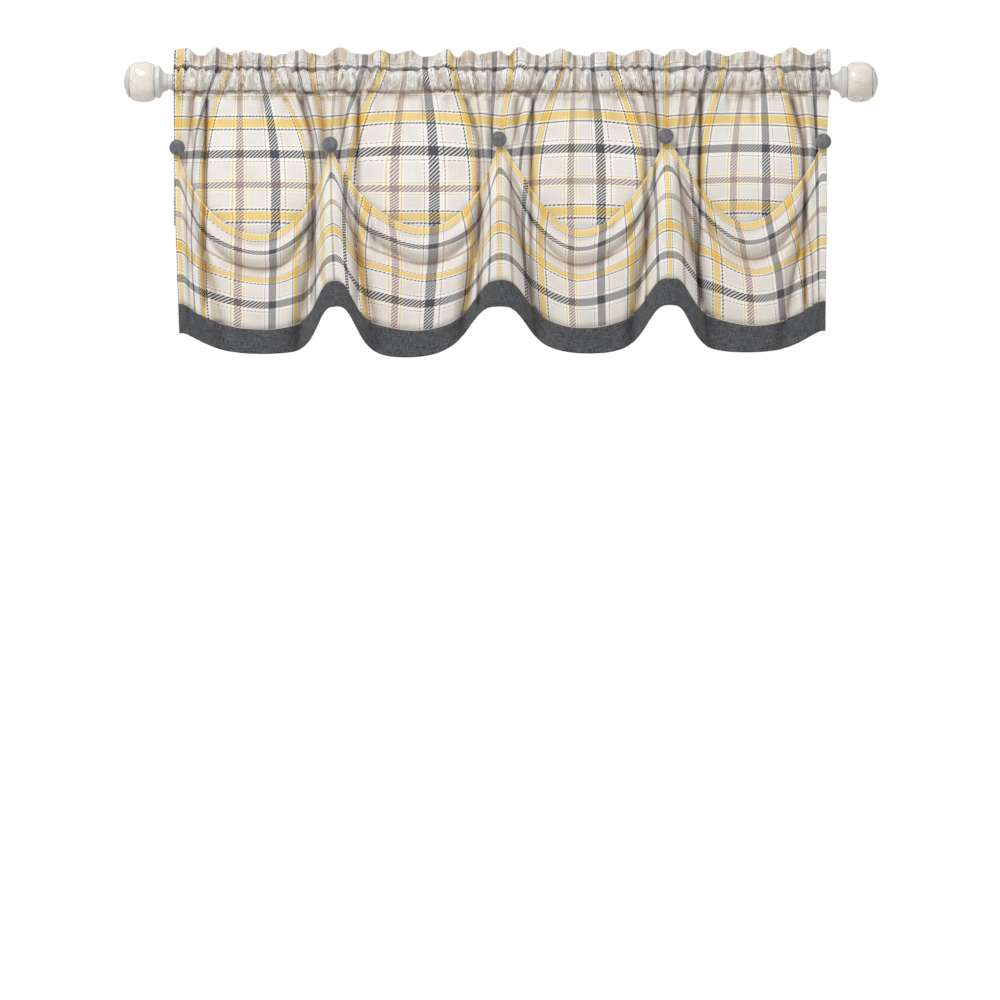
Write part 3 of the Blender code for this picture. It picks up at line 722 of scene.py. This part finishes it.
plaid.shader.inputs["Sheen Weight"].default_value = 0.12
plaid.shader.inputs["Sheen Roughness"].default_value = 0.5
valance.data.materials.append(plaid.material)

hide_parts("valance_cloth")
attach(valance, "root")


# ---------------------------------------------------------------------------------------------
# The hem band: a straight strip of slubby slate linen-look cotton, doubled and sewn along the lower
# edge of the plaid. It takes the swing of the swags above it.
BAND_THICKNESS = 0.0016
BAND_GAP = 0.0006  # from the last row of the plaid to the band
SEAM_ROLL = 0.0006  # how far the band swells forward just below its seam
band_rows = []
for share in np.linspace(0, 1, 12):
    x, y, z = front_point(BAND_SEAM - TUCK_EDGE + BAND_GAP + BAND_DEPTH * share)
    roll = SEAM_ROLL * np.sin(np.pi * np.clip(share * 5, 0, 1))
    band_rows.append((x, y - roll - 0.0002, z, np.full_like(place, share)))
band = woven_sheet(
    "hem_band_cloth", band_rows, BAND_THICKNESS, lambda share: share * BAND_DEPTH / REPEAT,
    ((0, len(band_rows), 0.0),),
)

linen = Finish("slate linen")
linen_weave = linen.node("UVMap", uv_map="weave").outputs["UV"]
long_slubs = linen.noise(1.0, 3.0, linen_weave, (9, 260, 1))
short_slubs = linen.noise(1.0, 3.0, linen_weave, (260, 14, 1))
linen_slubs = linen.maths("ADD", long_slubs, short_slubs)
linen_colour = linen.blend(linen.between(linen_slubs, 0.80, 1.20), colour(42, 45, 50), colour(106, 108, 112))
linen.put(linen.shader.inputs["Base Color"], linen_colour)
linen.put(linen.shader.inputs["Normal"], linen.bump(linen_slubs, 0.0005, 0.6))
linen.shader.inputs["Roughness"].default_value = 0.88
linen.shader.inputs["Specular IOR Level"].default_value = 0.3
linen.shader.inputs["Sheen Weight"].default_value = 0.1
band.data.materials.append(linen.material)

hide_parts("hem_band")
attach(band, "root")


# ---------------------------------------------------------------------------------------------
# The five buttons: metal shells covered in dark slate cloth, which is drawn in around the rim in
# small puckers. Each is sewn through the tuck and the panel behind it.
covering = Finish("covered button cloth")
button_noise = covering.noise(900.0, 2.0)
button_mottle = covering.noise(160.0, 3.0)
covering.put(
    covering.shader.inputs["Base Color"],
    covering.blend(covering.between(button_mottle, 0.35, 0.65), colour(92, 93, 100), colour(116, 117, 124)),
)
covering.put(covering.shader.inputs["Normal"], covering.bump(button_noise, 0.0004, 0.7))
covering.shader.inputs["Roughness"].default_value = 0.75
covering.shader.inputs["Sheen Weight"].default_value = 0.25
covering.shader.inputs["Sheen Roughness"].default_value = 0.45


def skin_over_rings(name, rings, material):
    """A smooth skin over rings of points, in order, each ring all the way round."""
    around = len(rings[0])
    faces = []
    for ring in range(len(rings) - 1):
        for step in range(around):
            here, next_step = ring * around + step, ring * around + (step + 1) % around
            faces.append((here, next_step, next_step + around, here + around))
    mesh = bpy.data.meshes.new(name)
    mesh.from_pydata(np.concatenate(rings).tolist(), [], faces)
    mesh.validate()
    mesh.shade_smooth()
    mesh.materials.append(material)
    piece = bpy.data.objects.new(name, mesh)
    bpy.context.scene.collection.objects.link(piece)
    # the rings of no width at both ends close up to a point
    welded = piece.modifiers.new("weld", "WELD")
    welded.merge_threshold = 0.00002
    return piece


def covered_button(number):
    low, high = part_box(f"button_{number}")
    middle_x, middle_z = (low.x + high.x) / 2, (low.z + high.z) / 2
    radius, depth = (high.x - low.x) / 2, high.y - low.y
    # from the middle of the dome to its back: share of the radius, share of the depth
    profile = (
        (0.0, 1.0), (0.18, 0.992), (0.36, 0.965), (0.53, 0.915), (0.68, 0.84), (0.80, 0.74), (0.90, 0.61),
        (0.965, 0.46), (1.0, 0.30), (0.995, 0.17), (0.95, 0.06), (0.86, 0.0), (0.5, 0.0), (0.0, 0.0),
    )
    around = 72
    angle = np.arange(around) * 2 * np.pi / around
    rings = []
    for share, rise in profile:
        pucker = 0.018 * np.cos(24 * angle + number) * smooth_step(0.75, 1.0, share) * (rise < 0.8)
        spread = radius * share * (0.99 + 0.5 * pucker)
        ring_x, ring_z = middle_x + spread * np.cos(angle), middle_z + spread * np.sin(angle)
        rings.append(np.stack((ring_x, np.full(around, high.y - depth * rise), ring_z), axis=1))
    button = skin_over_rings(f"covered_button_{number}", rings, covering.material)
    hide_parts(f"button_{number}")
    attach(button, "root")


for number in range(1, 6):
    covered_button(number)


# ---------------------------------------------------------------------------------------------
# The rod: a steel tube, enamelled in satin off-white. Only its ends show outside the pocket.
enamel = Finish("satin enamel")
enamel_mottle = enamel.noise(40.0, 4.0)
enamel_grain = enamel.noise(900.0, 2.0)
enamel.put(
    enamel.shader.inputs["Base Color"],
    enamel.blend(enamel_mottle, colour(196, 198, 197), colour(218, 218, 217)),
)
enamel.put(enamel.shader.inputs["Roughness"], enamel.between(enamel_mottle, 0.3, 0.7, 0.30, 0.42))
enamel.put(enamel.shader.inputs["Normal"], enamel.bump(enamel_grain, 0.0001, 0.15))
enamel.shader.inputs["Coat Weight"].default_value = 0.25
enamel.shader.inputs["Coat Roughness"].default_value = 0.2
for material_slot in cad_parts["rod"].material_slots:
    material_slot.material = enamel.material


# ---------------------------------------------------------------------------------------------
# The finials: a turned, enamelled neck that flares to a cup, a barrel-sided ball of crackled cream
# glass seated in it, and a domed end cap with a bright rim. Each screws into the end of the rod.
crackle = Finish("crackled glass")
flake_inputs = {"Vector": crackle.node("TexCoord").outputs["Object"], "Scale": 58.0}
flakes = crackle.node("TexVoronoi", flake_inputs, feature="F1")
joints = crackle.node("TexVoronoi", flake_inputs, feature="DISTANCE_TO_EDGE")
flake_shade = crackle.node("SeparateColor", {"Color": flakes.outputs["Color"]})
flake_colour = crackle.blend(flake_shade.outputs["Red"], colour(216, 207, 193), colour(232, 225, 218))
flake_colour = crackle.blend(
    crackle.between(crackle.noise(35.0, 3.0), 0.4, 0.65), flake_colour, colour(232, 226, 220)
)
crack = crackle.between(joints.outputs["Distance"], 0.006, 0.030, 1.0, 0.0)
dark_crack = crackle.maths("MULTIPLY", crack, crackle.between(crackle.noise(30.0, 1.0), 0.52, 0.60))
flake_colour = crackle.blend(crackle.maths("MULTIPLY", crack, 0.25), flake_colour, colour(150, 138, 120))
flake_colour = crackle.blend(crackle.maths("MULTIPLY", dark_crack, 0.85), flake_colour, colour(110, 98, 80))
crackle.put(crackle.shader.inputs["Base Color"], flake_colour)
crackle.shader.inputs["Roughness"].default_value = 0.16
crackle.shader.inputs["Coat Weight"].default_value = 0.6
crackle.shader.inputs["Coat Roughness"].default_value = 0.05
crackle.put(crackle.shader.inputs["Normal"], crackle.bump(crack, 0.0004, 0.4))


def turned_piece(name, profile, node, finish, at_x, direction):
    """A piece turned about the rod's line, from (distance out from the rod's end, radius) points."""
    around = 96
    angle = np.arange(around) * 2 * np.pi / around
    rings = []
    for out, radius in profile:
        ring_x = np.full(around, at_x + direction * out)
        rings.append(np.stack((ring_x, radius * np.cos(angle), radius * np.sin(angle)), axis=1))
    piece = skin_over_rings(name, rings, finish.material)
    piece.data.set_sharp_from_angle(angle=np.radians(50))
    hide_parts(node)
    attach(piece, "root")


def through(profile, count):
    """A smooth, close run of points through a turned profile's own points."""
    profile = np.array(profile)
    travel = np.concatenate(([0], np.cumsum(np.hypot(*np.diff(profile, axis=0).T))))
    at = np.linspace(0, travel[-1], count)
    return np.stack([curve_through(travel, measure, at) for measure in profile.T], axis=1)


def finial(side, direction):
    rod_low, rod_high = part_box("rod")
    rod_end = rod_high.x if direction > 0 else rod_low.x
    cup_low, cup_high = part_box(f"finial_cup_{side}")
    ball_low, ball_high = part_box(f"finial_ball_{side}")
    cap_low, cap_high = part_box(f"finial_cap_{side}")
    # distances out from the end of the rod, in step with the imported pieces
    lip, seat, ball_end, cap_end = (
        (cup_high.x - rod_end, ball_low.x - rod_end, ball_high.x - rod_end, cap_high.x - rod_end)
        if direction > 0
        else (rod_end - cup_low.x, rod_end - ball_high.x, rod_end - ball_low.x, rod_end - cap_low.x)
    )
    cup_radius = (cup_high.z - cup_low.z) / 2
    neck = through((
        (0.0004, 0.0104), (0.0010, 0.0112), (0.0024, 0.0114), (0.0040, 0.0106), (0.0052, 0.0099),
        (0.0074, 0.0101), (0.0086, 0.0112), (0.0100, 0.0117), (0.0116, 0.0120), (0.0140, 0.0137),
        (0.0160, 0.0166), (0.0176, 0.0199),
    ), 44)
    rim = through((
        (0.0178, 0.0203), (0.0188, cup_radius), (0.0206, cup_radius), (lip - 0.0024, 0.0209),
        (lip - 0.0006, 0.0206), (lip, 0.0200),
    ), 20)
    cup = [(0.0004, 0.0), *neck, *rim, (lip, 0.0)]
    turned_piece(f"neck_and_cup_{side}", cup, f"finial_cup_{side}", enamel, rod_end, direction)

    ball_radius = (ball_high.z - ball_low.z) / 2
    middle = 0.0395  # where the ball is widest
    start_radius, end_radius = 0.0205, 0.0204
    outs = np.linspace(seat, ball_end, 41)
    swell = np.where(outs < middle, (middle - outs) / (middle - seat), (outs - middle) / (ball_end - middle))
    ends = np.where(outs < middle, start_radius, end_radius)
    radii = ends + (ball_radius - ends) * np.sqrt(np.clip(1 - swell**2.1, 0, 1)) ** 1.15
    ball = [(seat, 0.0), *zip(outs, radii), (ball_end, 0.0)]
    turned_piece(
        f"crackled_ball_{side}", ball, f"finial_ball_{side}", crackle, rod_end, direction
    )

    cap_start = ball_end + 0.0003
    cap = [(cap_start, 0.0)] + through((
        (cap_start, 0.0196), (cap_start + 0.0004, 0.0203), (cap_start + 0.0015, 0.0204),
        (cap_start + 0.0022, 0.0197), (cap_start + 0.0026, 0.0188), (cap_start + 0.0045, 0.0150),
        (cap_start + 0.0062, 0.0100), (cap_end - 0.0004, 0.0045), (cap_end, 0.0),
    ), 40).tolist()
    turned_piece(f"end_cap_{side}", cap, f"finial_cap_{side}", enamel, rod_end, direction)


finial("left", -1)
finial("right", 1)


# ---------------------------------------------------------------------------------------------
# A pale floor far below, and a plain bright room with soft light from above the front.
FLOOR_Z, FLOOR_SIDE, FLOOR_FRONT, FLOOR_BACK = -1.3, 3.0, -3.0, 0.25
floor_mesh = bpy.data.meshes.new("floor")
floor_mesh.from_pydata([
    (-FLOOR_SIDE, FLOOR_FRONT, FLOOR_Z), (FLOOR_SIDE, FLOOR_FRONT, FLOOR_Z),
    (FLOOR_SIDE, FLOOR_BACK, FLOOR_Z), (-FLOOR_SIDE, FLOOR_BACK, FLOOR_Z),
], [], [(0, 1, 2, 3)])
floor = bpy.data.objects.new("floor", floor_mesh)
bpy.context.scene.collection.objects.link(floor)
pale = Finish("pale floor")
pale_colour = pale.blend(pale.noise(6.0), colour(244, 240, 234), colour(250, 247, 243))
pale.put(pale.shader.inputs["Base Color"], pale_colour)
pale.shader.inputs["Roughness"].default_value = 0.8
floor_mesh.materials.append(pale.material)

bpy.context.scene.view_settings.view_transform = "Standard"
room = bpy.data.worlds.new("room")
room.use_nodes = True
room_nodes, room_links = room.node_tree.nodes, room.node_tree.links
soft_walls = room_nodes["Background"]
soft_walls.inputs["Color"].default_value = (1.0, 0.985, 0.970, 1.0)
soft_walls.inputs["Strength"].default_value = 0.69
white_beyond = room_nodes.new("ShaderNodeBackground")
white_beyond.inputs["Color"].default_value = (1.0, 1.0, 1.0, 1.0)
white_beyond.inputs["Strength"].default_value = 1.0
seen_or_lit = room_nodes.new("ShaderNodeMixShader")
room_links.new(room_nodes.new("ShaderNodeLightPath").outputs["Is Camera Ray"], seen_or_lit.inputs["Fac"])
room_links.new(soft_walls.outputs[0], seen_or_lit.inputs[1])
room_links.new(white_beyond.outputs[0], seen_or_lit.inputs[2])
room_links.new(seen_or_lit.outputs[0], room_nodes["World Output"].inputs["Surface"])
bpy.context.scene.world = room


def soft_light(name, location, aim, size, power, tint):
    data = bpy.data.lights.new(name, "AREA")
    data.size = size
    data.energy = power
    data.color = tint
    light = bpy.data.objects.new(name, data)
    light.location = location
    light.rotation_euler = (Vector(aim) - Vector(location)).to_track_quat("-Z", "Y").to_euler()
    bpy.context.scene.collection.objects.link(light)


soft_light("key", (-0.8, -1.7, 1.7), (0, 0, -0.15), 0.6, 34.0, (1.0, 0.99, 0.985))
